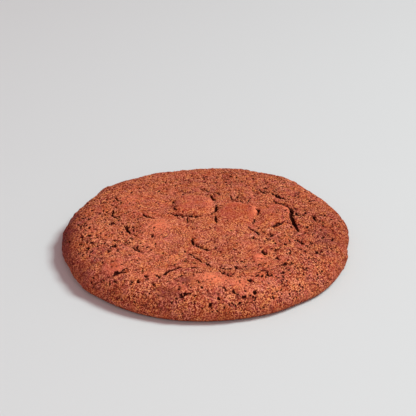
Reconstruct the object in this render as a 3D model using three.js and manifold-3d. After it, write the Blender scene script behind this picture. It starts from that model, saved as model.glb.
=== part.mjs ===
// A soft-baked chocolate cookie: one thick round with a rolled rim, lying on its flat underside.
// Chunks of chocolate under the crust push it up into smooth plates, and the crust between them
// has split and pitted as it baked. Nothing is stuck on, so the whole cookie is one solid.
//
// Millimetres, +Z up, +X to the right and +Y to the back. The origin is the middle of the box that
// the cookie fills, at the underside. Places in the plan are measured from the middle of the
// outline's waves, and directions in it are degrees from +X, counted towards +Y.

import * as THREE from 'three';
import { mergeVertices } from 'three/addons/utils/BufferGeometryUtils.js';
import Module from 'manifold-3d';

const COOKIE_WIDTH = 101.4;
const BELLY_HEIGHT = 3.2; // where the side bulges out the furthest
const SHOULDER_HEIGHT = 10.3; // where the rim has rolled over into the top
const SHOULDER_WIDTH = 12; // from the outline in to the shoulder
const SHOULDER_ROUNDNESS = 2.2; // 2 is an ellipse, more is squarer
const CROWN_RISE = 1.1; // the middle above the shoulder
const FOOT_INSET = 3; // the underside is this much inside the outline
const RADIUS = COOKIE_WIDTH / 2;
const MIDDLE = { x: 0.1, y: 0.42 }; // where the middle of the waves lies, so that the box is centred

// The plan isn't a true circle: slow waves round it, and short bumps and nicks in its edge.
const OUTLINE_WAVES = [
  { lobes: 1, rise: 0.4, toward: -85 },
  { lobes: 2, rise: 0.65, toward: 77 },
  { lobes: 3, rise: 0.3, toward: -59 },
  { lobes: 4, rise: 0.35, toward: -31 },
  { lobes: 5, rise: 0.2, toward: -10 },
  { lobes: 6, rise: 0.25, toward: 9 },
];
const EDGE_BUMPS = [
  { at: 6, spread: 6, rise: 0.5 },
  { at: 36, spread: 6, rise: -0.8 },
  { at: 54, spread: 6, rise: 0.9 },
  { at: 141, spread: 6, rise: 0.8 },
  { at: 156, spread: 8, rise: -0.7 },
  { at: 201, spread: 6, rise: -0.6 },
  { at: 219, spread: 6, rise: 0.7 },
  { at: 306, spread: 8, rise: -0.6 },
  { at: 351, spread: 4, rise: -0.9 },
];

// Broad swells and hollows of the top: the middle, how far they reach, and how high they rise.
const SWELLS = [
  { x: -16, y: -4.5, reach: 8, rise: 0.7 },
  { x: 5.5, y: -9.5, reach: 7.5, rise: 0.9 },
  { x: 7, y: -25.5, reach: 6.5, rise: -0.9 },
  { x: 0.5, y: -41, reach: 6, rise: 0.9 },
  { x: 10.5, y: -38.5, reach: 2.8, rise: 0.5 },
  { x: 24, y: -21.5, reach: 5, rise: 0.4 },
  { x: -6, y: 32.5, reach: 8, rise: 0.5 },
  { x: 33, y: 20.5, reach: 7, rise: 0.4 },
  { x: -37, y: 2.5, reach: 7, rise: -0.5 },
  { x: -25, y: -8, reach: 2.2, rise: -1.5 },
  { x: -13.5, y: -42.5, reach: 3.4, rise: -0.8 },
  { x: 40, y: -13.5, reach: 4.4, rise: -0.7 },
  { x: -8, y: -21.5, reach: 7, rise: 0.3 },
  { x: -7, y: -39, reach: 2, rise: -0.5 },
  { x: -30, y: -13.5, reach: 6, rise: 0.4 },
  { x: -10, y: -0.5, reach: 3.5, rise: -0.5 },
];

// Chunks of chocolate under the crust, each a smooth plate with rounded shoulders.
const CHUNKS = [
  { x: -5, y: 10.2, long: 7.6, short: 7, turn: 80, rise: 1.1 },
  { x: 10.9, y: 3.6, long: 8, short: 7, turn: 70, rise: 1.2 },
  { x: 24, y: 2.6, long: 7.6, short: 5.8, turn: 95, rise: 1.3 },
  { x: -22.8, y: 11, long: 9.4, short: 8.5, turn: 60, rise: 0.6 },
  { x: -30.6, y: -31.4, long: 4.2, short: 3.5, turn: 80, rise: 0.6 },
  { x: 16.7, y: -27, long: 1.7, short: 1.4, turn: 50, rise: 0.7 },
];
const PLATE_FLAT = 0.72; // of a chunk's half size, inside which its plate is flat
const PLATE_END = 1.14; // and outside which it has sunk into the dough
const PLATE_SQUARENESS = 3; // 2 is an ellipse, more is squarer

// Splits in the crust: each runs from one end, by its middle, to the other end.
const CRACKS = [
  { from: [-13, 4.2], by: [-10, 2.6], to: [-5.3, 2.2], width: 1.2, depth: 2.1 },
  { from: [-6.2, 2.5], by: [-1.6, 1.3], to: [2.8, 4.6], width: 1, depth: 1.8 },
  { from: [2.3, 3.9], by: [3.5, 7.2], to: [3.5, 11.2], width: 1.1, depth: 1.9 },
  { from: [1.7, 18], by: [2.2, 15.8], to: [3.1, 13.4], width: 1.3, depth: 1.8 },
  { from: [3.1, 0.6], by: [3.5, -1.9], to: [3.7, -4.9], width: 0.9, depth: 1.5 },
  { from: [-2.5, 24.8], by: [-0.8, 23.2], to: [1.1, 21.2], width: 1, depth: 1.5 },
  { from: [3, 21.8], by: [4.4, 19.2], to: [7.2, 18.4], width: 1, depth: 1.5 },
  { from: [12, 14.8], by: [13.9, 10.2], to: [17, 7.4], width: 1.1, depth: 1.8 },
  { from: [17.2, 7], by: [18.3, 4.6], to: [17.9, 2], width: 1, depth: 1.7 },
  { from: [16.8, -0.8], by: [16.5, -2.6], to: [15.8, -4.6], width: 0.9, depth: 1.4 },
  { from: [26.8, 12.6], by: [29.6, 8.6], to: [29.9, 3.6], width: 1.6, depth: 2.5 },
  { from: [30, 5], by: [29.9, 0], to: [30.3, -5.4], width: 1.5, depth: 2.3 },
  { from: [30.7, -3.4], by: [31.3, -6.2], to: [31.6, -9.1], width: 1, depth: 1.6 },
  { from: [22.2, -6.3], by: [23.9, -5.5], to: [26.9, -3.5], width: 1.2, depth: 1.8 },
  { from: [23.6, 20.8], by: [25.6, 18.2], to: [28.4, 15.4], width: 1.3, depth: 1.8 },
  { from: [19.6, 22.9], by: [20.9, 21], to: [22.6, 19.4], width: 1, depth: 1.4 },
  { from: [29.5, -14.2], by: [31.2, -15.6], to: [32.6, -18.2], width: 1, depth: 1.6 },
  { from: [14.3, -6.4], by: [15.4, -7.8], to: [16.5, -9], width: 0.9, depth: 1.4 },
  { from: [16.7, -9], by: [17.3, -10.6], to: [18, -12.2], width: 1, depth: 1.5 },
  { from: [14.6, -13.6], by: [15.8, -14.5], to: [17.2, -14.9], width: 0.9, depth: 1.4 },
  { from: [18.7, -22.2], by: [18.9, -24], to: [19.7, -25.4], width: 1.1, depth: 1.6 },
  { from: [-27.3, -5], by: [-26.5, -8.9], to: [-23.4, -13.3], width: 1.4, depth: 2 },
  { from: [-32.9, 7.8], by: [-32.8, 3.4], to: [-30, 1.4], width: 1.1, depth: 1.7 },
  { from: [-22.3, 3.2], by: [-20.2, 0], to: [-17.4, -1.1], width: 1, depth: 1.5 },
  { from: [-33.2, 19.2], by: [-31.8, 15.6], to: [-29.7, 11.7], width: 0.9, depth: 1.5 },
  { from: [-24.6, -19.8], by: [-23.2, -21.4], to: [-21.1, -24.1], width: 1.1, depth: 1.7 },
  { from: [-4.8, -15], by: [-3.7, -19.4], to: [1, -22.5], width: 1.3, depth: 2 },
  { from: [-5.1, -25.2], by: [-3.8, -27.7], to: [-1.8, -29.2], width: 1.1, depth: 1.7 },
  { from: [-2.3, -29], by: [-0.7, -30.6], to: [1.5, -29.2], width: 1, depth: 1.6 },
  { from: [-0.2, -30.2], by: [0.7, -31.8], to: [1.6, -33.6], width: 0.9, depth: 1.5 },
  { from: [-14, -38.4], by: [-11.6, -35.9], to: [-7.5, -33.9], width: 1.2, depth: 1.9 },
  { from: [-8.4, -34.1], by: [-5.3, -33.7], to: [-2.2, -34.5], width: 0.9, depth: 1.4 },
  { from: [-4.9, -36.6], by: [-2, -37.9], to: [1.4, -38.3], width: 1, depth: 1.5 },
  { from: [4.4, -33.9], by: [6.3, -34.6], to: [8.5, -33.5], width: 1, depth: 1.5 },
  { from: [9.2, -32.3], by: [10.3, -34.8], to: [14.1, -35.3], width: 1.3, depth: 1.8 },
  { from: [4.2, -36.8], by: [5.8, -37.8], to: [8.2, -39.9], width: 1, depth: 1.5 },
  { from: [-10.9, -40.6], by: [-9.3, -39.3], to: [-7.2, -37.7], width: 0.9, depth: 1.5 },
  { from: [-30, -36.1], by: [-28.3, -35.2], to: [-25.8, -36], width: 1.4, depth: 1.9 },
  { from: [-27.5, -35.2], by: [-26.9, -34.1], to: [-25.6, -33.3], width: 0.8, depth: 1.2 },
  { from: [19.9, -35.8], by: [19.8, -37.9], to: [21.4, -37.2], width: 1, depth: 1.4 },
  { from: [-8.7, -48.4], by: [-7.3, -47.5], to: [-5.6, -47], width: 1.1, depth: 1.5 },
  { from: [36.8, 3.9], by: [37.8, 2.2], to: [38, -0.5], width: 1.3, depth: 1.8 },
  { from: [31.6, 5.8], by: [32, 3.8], to: [33, 2.4], width: 1.2, depth: 1.7 },
];
const CRACK_STEP = 1.9; // between the stations along a crack
const CRACK_WANDER = 0.3; // how far a crack strays to either side at each station
const CUTTER_PROUD = 0.8; // how far a cutter stands above the crust

// Vents that the steam left: the large ones by place, and a scatter of small ones.
const VENTS = [
  { x: 44.1, y: -17.9, radius: 1.1 },
  { x: 36.8, y: -22.5, radius: 1 },
  { x: 37.7, y: -31, radius: 1 },
  { x: 38.9, y: -27, radius: 0.8 },
  { x: 36.6, y: -10, radius: 0.8 },
  { x: 33.8, y: -9.5, radius: 0.8 },
  { x: 15.2, y: -45.6, radius: 1.3 },
  { x: 11.7, y: -47.4, radius: 1.2 },
  { x: 10.5, y: -49, radius: 1 },
  { x: 3.9, y: -48.6, radius: 1 },
  { x: -9.4, y: -48.2, radius: 0.9 },
  { x: -19.3, y: -38.3, radius: 1.1 },
  { x: -31, y: -19.6, radius: 1.2 },
  { x: -25.2, y: -14.5, radius: 0.9 },
  { x: -31.1, y: -38.5, radius: 0.9 },
  { x: -24, y: -40.3, radius: 0.8 },
  { x: -21.7, y: -40.7, radius: 0.8 },
  { x: -32.6, y: -2.3, radius: 0.9 },
  { x: -42.2, y: -11.6, radius: 1 },
  { x: -40.5, y: 12.5, radius: 0.8 },
  { x: -32.6, y: 10, radius: 0.9 },
  { x: -25.3, y: -5.4, radius: 0.8 },
  { x: -4.6, y: -2.8, radius: 0.8 },
  { x: 11.3, y: 17.3, radius: 0.9 },
  { x: 17.4, y: 19.6, radius: 0.9 },
  { x: 22.4, y: 30.1, radius: 1 },
  { x: 28.9, y: 30.4, radius: 0.8 },
  { x: 32.3, y: 27, radius: 0.8 },
  { x: 23.1, y: -27.6, radius: 1.1 },
  { x: 25.4, y: -31.6, radius: 1 },
  { x: 27.6, y: -31.1, radius: 0.9 },
];
const VENT_DEPTH = 1.3; // of a vent's radius
const VENT_SQUASH = 0.75; // across a vent for each millimetre along it
const VENT_SIDES = 6;
const SCATTERED_VENTS = 24;
const SCATTER_FROM = 17; // the middle has few vents
const SCATTER_TO = 46.5;
const SCATTER_RADIUS = [0.6, 0.95];
const VENT_SPACING = 3.2;
const CHUNK_CLEARANCE = 1.15; // of a chunk's half size, which vents keep off

// The crust's own lumps, from coarse to fine.
const LUMPS = [
  { across: 6.5, rise: 0.26, seed: 11 },
  { across: 3.1, rise: 0.18, seed: 23 },
];
const RELIEF_FROM = 1.4; // the height on the side below which it runs smooth into the foot
const RELIEF_FULL = 5.1; // and above which it has its whole relief
const PLATE_SMOOTHING = 0.8; // the share of the lumps that a chunk's plate takes away

const TOP_RINGS = 30; // from the middle of the top out to the belly
const UNDER_RINGS = 3; // from the belly in to the foot
const SIDES = 6; // ring k has SIDES * k points, so that the triangles stay even
const PROFILE_SAMPLES = 400;
const SLOPE_STEP = 0.1; // either side of a point, to find the slope there

const radians = THREE.MathUtils.degToRad;

// A seeded draw from 0 to 1 for a lattice point.
function latticeValue(column, row, seed) {
  let bits = Math.imul(column, 374761393) + Math.imul(row, 668265263) + Math.imul(seed, 69069);
  bits = Math.imul(bits ^ (bits >>> 13), 1274126177);
  return ((bits ^ (bits >>> 16)) >>> 0) / 4294967296;
}

// Smooth noise from -1 to 1 with lumps one unit across.
function smoothNoise(x, y, seed) {
  const column = Math.floor(x);
  const row = Math.floor(y);
  const across = THREE.MathUtils.smoothstep(x - column, 0, 1);
  const along = THREE.MathUtils.smoothstep(y - row, 0, 1);
  const near = THREE.MathUtils.lerp(
    latticeValue(column, row, seed), latticeValue(column + 1, row, seed), across);
  const far = THREE.MathUtils.lerp(
    latticeValue(column, row + 1, seed), latticeValue(column + 1, row + 1, seed), across);
  return 2 * THREE.MathUtils.lerp(near, far, along) - 1;
}

// The shorter way round between two directions, in degrees.
function turnBetween(a, b) {
  return Math.abs(((a - b + 540) % 360) - 180);
}

// The distance from the middle to the outline in a direction.
function outlineRadius(direction) {
  let radius = RADIUS;
  for (const wave of OUTLINE_WAVES) {
    radius += wave.rise * Math.cos(radians(wave.lobes * (direction - wave.toward)));
  }
  for (const bump of EDGE_BUMPS) {
    radius += bump.rise * Math.exp(-((turnBetween(direction, bump.at) / bump.spread) ** 2));
  }
  return radius;
}

// The height of the smooth top at a distance in from the outline.
function topHeight(inset) {
  const across = Math.min(inset / SHOULDER_WIDTH, 1);
  const roll = (1 - (1 - across) ** SHOULDER_ROUNDNESS) ** (1 / SHOULDER_ROUNDNESS);
  const inward = THREE.MathUtils.clamp(inset / RADIUS, 0, 1);
  return BELLY_HEIGHT + (SHOULDER_HEIGHT - BELLY_HEIGHT) * roll + CROWN_RISE * inward * (2 - inward);
}

// How far a point lies from a chunk's middle, where 1 is the chunk's own edge.
function chunkReach(chunk, x, y) {
  const turn = radians(chunk.turn);
  const along = ((x - chunk.x) * Math.cos(turn) + (y - chunk.y) * Math.sin(turn)) / chunk.long;
  const across = ((y - chunk.y) * Math.cos(turn) - (x - chunk.x) * Math.sin(turn)) / chunk.short;
  return (Math.abs(along) ** PLATE_SQUARENESS + Math.abs(across) ** PLATE_SQUARENESS)
    ** (1 / PLATE_SQUARENESS);
}

// How far the crust stands off the smooth form at a point of the plan.
function crustRelief(x, y) {
  let relief = 0;
  for (const swell of SWELLS) {
    relief += swell.rise * Math.exp(-((x - swell.x) ** 2 + (y - swell.y) ** 2) / swell.reach ** 2);
  }
  let plate = 0;
  for (const chunk of CHUNKS) {
    const share = 1 - THREE.MathUtils.smoothstep(chunkReach(chunk, x, y), PLATE_FLAT, PLATE_END);
    relief += chunk.rise * share;
    plate = Math.max(plate, share);
  }
  for (const lump of LUMPS) {
    const rise = lump.rise * smoothNoise(x / lump.across, y / lump.across, lump.seed);
    relief += (1 - PLATE_SMOOTHING * plate) * rise;
  }
  return relief;
}

// How much of its relief the crust has at a height.
function reliefShare(height) {
  return THREE.MathUtils.smoothstep(height, RELIEF_FROM, RELIEF_FULL);
}

// The point of the crust over a point of the plan, and the way that the crust faces there.
function crustPoint(x, y) {
  const reach = Math.hypot(x, y) || 1;
  const inset = outlineRadius(THREE.MathUtils.radToDeg(Math.atan2(y, x))) - reach;
  const outer = Math.max(inset - SLOPE_STEP, 0);
  const slope = (topHeight(inset + SLOPE_STEP) - topHeight(outer)) / (inset + SLOPE_STEP - outer);
  const normal = new THREE.Vector3((slope * x) / reach, (slope * y) / reach, 1).normalize();
  const height = topHeight(inset);
  const place = new THREE.Vector3(x, y, height);
  return { place: place.addScaledVector(normal, reliefShare(height) * crustRelief(x, y)), normal };
}

// Evenly spaced steps over the smooth top, from the middle out to the belly, as insets and normals.
function topSteps() {
  const samples = [];
  let run = 0;
  for (let i = 0; i <= PROFILE_SAMPLES; i += 1) {
    const inset = RADIUS * (1 - Math.sin((i / PROFILE_SAMPLES) * (Math.PI / 2)));
    const height = topHeight(inset);
    const last = samples.at(-1);
    run += last ? Math.hypot(inset - last.inset, height - last.height) : 0;
    samples.push({ inset, height, run });
  }
  const steps = [];
  for (let ring = 0; ring <= TOP_RINGS; ring += 1) {
    const wanted = (ring / TOP_RINGS) * run;
    const next = Math.max(1, samples.findIndex((sample) => sample.run >= wanted - 1e-9));
    const [a, b] = [samples[next - 1], samples[next]];
    const share = (wanted - a.run) / (b.run - a.run);
    const slope = Math.hypot(b.inset - a.inset, b.height - a.height);
    steps.push({
      inset: THREE.MathUtils.lerp(a.inset, b.inset, share),
      height: THREE.MathUtils.lerp(a.height, b.height, share),
      outward: (a.height - b.height) / slope,
      upward: (a.inset - b.inset) / slope,
    });
  }
  return steps;
}

// The uncut cookie: rings of points over the top and round the side, closed by a flat underside.
function cookieGeometry() {
  const positions = [];
  const triangles = [];
  const steps = topSteps();
  const ringStart = [];

  steps.forEach((step, ring) => {
    ringStart.push(positions.length / 3);
    const count = Math.max(1, SIDES * ring);
    for (let i = 0; i < count; i += 1) {
      const direction = (360 * i) / count;
      const radius = outlineRadius(direction) * (1 - step.inset / RADIUS);
      const [cos, sin] = [Math.cos(radians(direction)), Math.sin(radians(direction))];
      const relief = reliefShare(step.height) * crustRelief(radius * cos, radius * sin);
      const reach = radius + relief * step.outward;
      positions.push(reach * cos, reach * sin, step.height + relief * step.upward);
    }
  });
  for (let ring = 0; ring < TOP_RINGS; ring += 1) {
    const inner = Math.max(1, SIDES * ring);
    const outer = SIDES * (ring + 1);
    for (let side = 0; side < SIDES; side += 1) {
      for (let i = 0; i <= ring; i += 1) {
        const a = ringStart[ring] + ((side * ring + i) % inner);
        const b = ringStart[ring + 1] + ((side * (ring + 1) + i) % outer);
        const c = ringStart[ring + 1] + ((side * (ring + 1) + i + 1) % outer);
        triangles.push(a, b, c);
        if (i < ring) {
          triangles.push(a, c, ringStart[ring] + ((side * ring + i + 1) % inner));
        }
      }
    }
  }

  const around = SIDES * TOP_RINGS;
  let upper = ringStart[TOP_RINGS];
  for (let ring = 1; ring <= UNDER_RINGS; ring += 1) {
    const lower = positions.length / 3;
    const quarter = (ring / UNDER_RINGS) * (Math.PI / 2);
    for (let i = 0; i < around; i += 1) {
      const direction = (360 * i) / around;
      const radius = outlineRadius(direction) - FOOT_INSET * (1 - Math.cos(quarter));
      const height = BELLY_HEIGHT * (1 - Math.sin(quarter));
      positions.push(
        radius * Math.cos(radians(direction)), radius * Math.sin(radians(direction)), height);
    }
    for (let i = 0; i < around; i += 1) {
      const next = (i + 1) % around;
      triangles.push(upper + i, lower + i, lower + next, upper + i, lower + next, upper + next);
    }
    upper = lower;
  }
  const centre = positions.length / 3;
  positions.push(0, 0, 0);
  for (let i = 0; i < around; i += 1) {
    triangles.push(upper + i, centre, upper + ((i + 1) % around));
  }
  return indexedGeometry(positions, triangles);
}

// A geometry from flat lists of coordinates and corners.
function indexedGeometry(positions, triangles) {
  const geometry = new THREE.BufferGeometry();
  geometry.setAttribute('position', new THREE.Float32BufferAttribute(positions, 3));
  geometry.setIndex(triangles);
  return geometry;
}

// The stations along a crack, each with its place in the plan and the way it heads.
function crackStations(crack, seed) {
  const [from, by, to] = [crack.from, crack.by, crack.to].map((point) => new THREE.Vector2(...point));
  const pull = by.clone().multiplyScalar(2).sub(from.clone().lerp(to, 0.5));
  const curve = new THREE.QuadraticBezierCurve(from, pull, to);
  const count = Math.max(3, Math.round((from.distanceTo(by) + by.distanceTo(to)) / CRACK_STEP));
  const stations = [];
  for (let i = 0; i <= count; i += 1) {
    const { x, y } = curve.getPoint(i / count);
    const heading = curve.getTangent(i / count);
    const inside = i > 0 && i < count;
    const stray = inside ? CRACK_WANDER * (2 * latticeValue(i, seed, 41) - 1) : 0;
    stations.push({ x: x - stray * heading.y, y: y + stray * heading.x, heading });
  }
  return stations;
}

// A wedge that follows a crack and thins out to a point at both ends.
function crackCutter(crack, seed) {
  const stations = crackStations(crack, seed);
  const last = stations.length - 1;
  const positions = [];
  const triangles = [];
  stations.forEach(({ x, y, heading }, i) => {
    const { place, normal } = crustPoint(x, y);
    if (i === 0 || i === last) {
      positions.push(...place.addScaledVector(normal, CUTTER_PROUD / 2));
      return;
    }
    const fullness = Math.sin((Math.PI * i) / last) ** 0.6;
    const half = (crack.width / 2) * (fullness + CUTTER_PROUD / crack.depth);
    const side = new THREE.Vector3(heading.x, heading.y, 0).cross(normal).normalize();
    const proud = place.clone().addScaledVector(normal, CUTTER_PROUD);
    positions.push(
      ...proud.clone().addScaledVector(side, -half),
      ...proud.addScaledVector(side, half),
      ...place.addScaledVector(normal, -crack.depth * fullness));
  });
  const corner = (station, k) => 1 + 3 * (station - 1) + k;
  const end = positions.length / 3 - 1;
  for (let k = 0; k < 3; k += 1) {
    const next = (k + 1) % 3;
    triangles.push(0, corner(1, next), corner(1, k));
    triangles.push(end, corner(last - 1, k), corner(last - 1, next));
    for (let i = 1; i < last - 1; i += 1) {
      triangles.push(corner(i, k), corner(i, next), corner(i + 1, next));
      triangles.push(corner(i, k), corner(i + 1, next), corner(i + 1, k));
    }
  }
  return indexedGeometry(positions, triangles);
}

// Places for the small vents, in a seeded order, clear of the chunks, the cracks and each other.
function scatteredVents() {
  const taken = VENTS.map((vent) => ({ x: vent.x, y: vent.y }));
  CRACKS.forEach((crack, seed) => taken.push(...crackStations(crack, seed)));
  const vents = [];
  for (let draw = 0; vents.length < SCATTERED_VENTS; draw += 1) {
    const direction = 2 * Math.PI * latticeValue(draw, 1, 7);
    const reach = THREE.MathUtils.lerp(SCATTER_FROM, SCATTER_TO, Math.sqrt(latticeValue(draw, 2, 7)));
    const [x, y] = [reach * Math.cos(direction), reach * Math.sin(direction)];
    const onChunk = CHUNKS.some((chunk) => chunkReach(chunk, x, y) < CHUNK_CLEARANCE);
    const close = taken.some((other) => Math.hypot(other.x - x, other.y - y) < VENT_SPACING);
    if (!onChunk && !close) {
      const radius = THREE.MathUtils.lerp(...SCATTER_RADIUS, latticeValue(draw, 3, 7));
      vents.push({ x, y, radius });
      taken.push({ x, y });
    }
  }
  return vents;
}

// A squashed cone that points down into the crust.
function ventCutter(vent, seed) {
  const { place, normal } = crustPoint(vent.x, vent.y);
  const depth = vent.radius * VENT_DEPTH;
  const full = depth + CUTTER_PROUD;
  const cone = new THREE.ConeGeometry((vent.radius * full) / depth, full, VENT_SIDES);
  cone.rotateX(-Math.PI / 2);
  cone.scale(1, VENT_SQUASH, 1);
  cone.rotateZ(Math.PI * latticeValue(seed, 4, 7));
  cone.applyQuaternion(new THREE.Quaternion().setFromUnitVectors(new THREE.Vector3(0, 0, 1), normal));
  cone.translate(...place.addScaledVector(normal, full / 2 - depth));
  return cone;
}

// A closed geometry as a solid that can be cut.
function solidFrom(library, geometry) {
  geometry.deleteAttribute('normal');
  geometry.deleteAttribute('uv');
  const merged = mergeVertices(geometry, 1e-4);
  return new library.Manifold(new library.Mesh({
    numProp: 3,
    vertProperties: merged.getAttribute('position').array,
    triVerts: new Uint32Array(merged.index.array),
  }));
}

// The uncut cookie less its cracks and vents.
async function bakedCookieGeometry() {
  const library = await Module();
  library.setup();
  let cookie = solidFrom(library, cookieGeometry());
  CRACKS.forEach((crack, seed) => {
    cookie = cookie.subtract(solidFrom(library, crackCutter(crack, seed)));
  });
  [...VENTS, ...scatteredVents()].forEach((vent, seed) => {
    cookie = cookie.subtract(solidFrom(library, ventCutter(vent, seed)));
  });
  const mesh = cookie.getMesh();
  const geometry = indexedGeometry(Array.from(mesh.vertProperties), Array.from(mesh.triVerts));
  geometry.computeVertexNormals();
  return geometry;
}

const crust = new THREE.MeshStandardMaterial({ color: 0xa8573a, roughness: 0.85, metalness: 0 });
const cookie = new THREE.Mesh(await bakedCookieGeometry(), crust);
cookie.name = 'cookie';
cookie.position.set(MIDDLE.x, MIDDLE.y, 0);

const group = new THREE.Group();
group.add(cookie);

export default group;
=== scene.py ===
"""The looks of a soft-baked chocolate cookie, built over its solid.

Sizes of the cookie are in millimetres, as in the solid, and the meshes are made in metres. Places
in the plan are measured from the middle of the outline's waves, +X to the right and +Y to the back,
and directions in it are degrees from +X, counted towards +Y.
"""

import logging
import math
from collections.abc import Callable, Iterable, Iterator
from dataclasses import dataclass, field
from enum import Enum, IntEnum
from typing import TypeVar

import bpy
import numpy as np
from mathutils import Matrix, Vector


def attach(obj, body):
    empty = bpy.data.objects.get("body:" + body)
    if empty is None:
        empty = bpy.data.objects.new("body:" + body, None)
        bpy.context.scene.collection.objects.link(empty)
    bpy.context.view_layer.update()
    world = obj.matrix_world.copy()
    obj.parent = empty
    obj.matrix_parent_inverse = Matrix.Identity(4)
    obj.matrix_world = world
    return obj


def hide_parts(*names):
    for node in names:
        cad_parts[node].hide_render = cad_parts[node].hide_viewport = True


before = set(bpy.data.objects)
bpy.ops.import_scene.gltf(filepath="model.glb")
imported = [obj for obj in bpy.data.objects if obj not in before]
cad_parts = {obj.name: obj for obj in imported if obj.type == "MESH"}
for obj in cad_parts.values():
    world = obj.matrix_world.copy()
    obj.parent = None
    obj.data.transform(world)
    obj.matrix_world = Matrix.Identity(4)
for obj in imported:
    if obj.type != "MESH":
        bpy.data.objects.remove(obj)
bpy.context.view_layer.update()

LOG = logging.getLogger("cookie")
MM = 0.001
SQUARE_CM_IN_SQUARE_M = 1e4
NODE = "cookie"
BODY = "root"
LOW_BITS = np.uint64(0xFFFFFFFF)
STIRS = (374761393, 668265263, 69069)
LAST_STIR = 1274126177
LAYER_STEP = 101
TINY = 1e-6

Colour = tuple[float, float, float]
Span = tuple[float, float]
Points = np.ndarray
Socket = bpy.types.NodeSocket
Amount = Socket | float
Shade = Socket | Colour
Inputs = dict[str | int, object]
Feature = TypeVar("Feature")


class Trace(Enum):
    """What the crust's mesh remembers at each point, for its material to read."""

    PLATE = "plate"
    # Painted highlight on each plate's shoulder towards the light, and the pale patches, which are partly
    # painted light.
    HIGHLIGHT_AND_PALE = "painted_highlight_and_pale"
    # Painted shade in the vents, pits and cracks.
    CAVITY_SHADE = "cavity_shade"
    # Painted shade in the creases between the crust's lumps.
    CREASE_SHADE = "crease_shade"
    PITTED = "pitted"
    # Darker, purplish zones, partly real staining and partly painted shade.
    STAIN_AND_SHADE = "stain_and_shade"
    CRUMB = "crumb_share"
    # Darkening: browning on the underside, a darker lower rim, and zones that are partly painted shade and
    # light.
    TOASTED_AND_SHADED = "toasted_and_shaded"


class Seed(IntEnum):
    """The seeds of the draws that are made on the mesh."""

    VENTS = 7
    PITS = 19
    STRAY = 41
    CREASES = 61
    CREASE_PATCHES = 67
    CREASE_BREAKS = 89


@dataclass(frozen=True)
class Wave:
    """A slow wave of the outline.

    Args:
        lobes: how many times it rises in one turn.
        rise: how far it rises, in millimetres.
        toward: the direction of one of its crests, in degrees.
    """

    lobes: int
    rise: float
    toward: float


@dataclass(frozen=True)
class EdgeBump:
    """A short bump, or with a negative rise a nick, in the outline."""

    at: float
    spread: float
    rise: float


@dataclass(frozen=True)
class Swell:
    """A broad rise, or with a negative rise a hollow, of the top."""

    x: float
    y: float
    reach: float
    rise: float


@dataclass(frozen=True)
class Chunk:
    """A chunk of chocolate that pushes the crust up into a smooth plate.

    Args:
        x: the place of its middle along X.
        y: the place of its middle along Y.
        long: half its length.
        short: half its width.
        turn: the direction of its length, in degrees.
        rise: how far it lifts the crust.
        smooth: how far it smooths and reddens the crust, from 0 to 1.
        shoulder: how strong the painted highlight is on its shoulder towards the back right, the side that
            faces the light, from 0 to 1.
    """

    x: float
    y: float
    long: float
    short: float
    turn: float
    rise: float
    smooth: float
    shoulder: float


@dataclass(frozen=True)
class Crack:
    """A split in the crust, from one end, by its middle, to the other end."""

    start: tuple[float, float]
    by: tuple[float, float]
    end: tuple[float, float]
    width: float
    depth: float


@dataclass(frozen=True)
class Vent:
    """A hole that the steam left."""

    x: float
    y: float
    radius: float


@dataclass(frozen=True)
class Zone:
    """An oval region of the top that has more, or with a negative share less, of something."""

    x: float
    y: float
    wide: float
    deep: float
    share: float


def each(kind: Callable[..., Feature], *rows: tuple) -> tuple[Feature, ...]:
    """One feature of a kind for each row of its values."""
    return tuple(kind(*row) for row in rows)


OUTLINE_WAVES = each(
    Wave,
    (1, 0.4, -85), (2, 0.65, 77), (3, 0.3, -59), (4, 0.35, -31), (5, 0.2, -10), (6, 0.25, 9),
)
EDGE_BUMPS = each(
    EdgeBump,
    (6, 6, 0.5), (36, 6, -0.8), (54, 6, 0.9), (141, 6, 0.8), (156, 8, -0.7), (201, 6, -0.6),
    (219, 6, 0.7), (306, 8, -0.6), (351, 4, -0.9),
)
SWELLS = each(
    Swell,
    (-16, -4.5, 8, 0.7), (5.5, -9.5, 7.5, 0.9), (7, -25.5, 6.5, -0.9), (0.5, -41, 6, 0.9),
    (10.5, -38.5, 2.8, 0.5), (24, -21.5, 5, 0.4), (-6, 32.5, 8, 0.5), (33, 20.5, 7, 0.4),
    (-37, 2.5, 7, -0.5), (-25, -8, 2.2, -1.5), (-13.5, -42.5, 3.4, -0.8), (40, -13.5, 4.4, -0.7),
    (-8, -21.5, 7, 0.3), (-7, -39, 2, -0.5), (-30, -13.5, 6, 0.4), (-10, -0.5, 3.5, -0.5),
)
CHUNKS = each(
    Chunk,
    (-5, 10.2, 7.6, 7, 80, 1.1, 0.55, 0.4), (10.9, 3.6, 8, 7, 70, 1.2, 0.75, 1),
    (24, 2.6, 7.6, 5.8, 95, 1.3, 0.5, 0.9), (-22.8, 11, 9.4, 8.5, 60, 0.6, 0.3, 0),
    (-30.6, -31.4, 4.2, 3.5, 80, 0.6, 0.6, 0.3), (16.7, -27, 1.7, 1.4, 50, 0.7, 1, 1),
)
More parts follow.
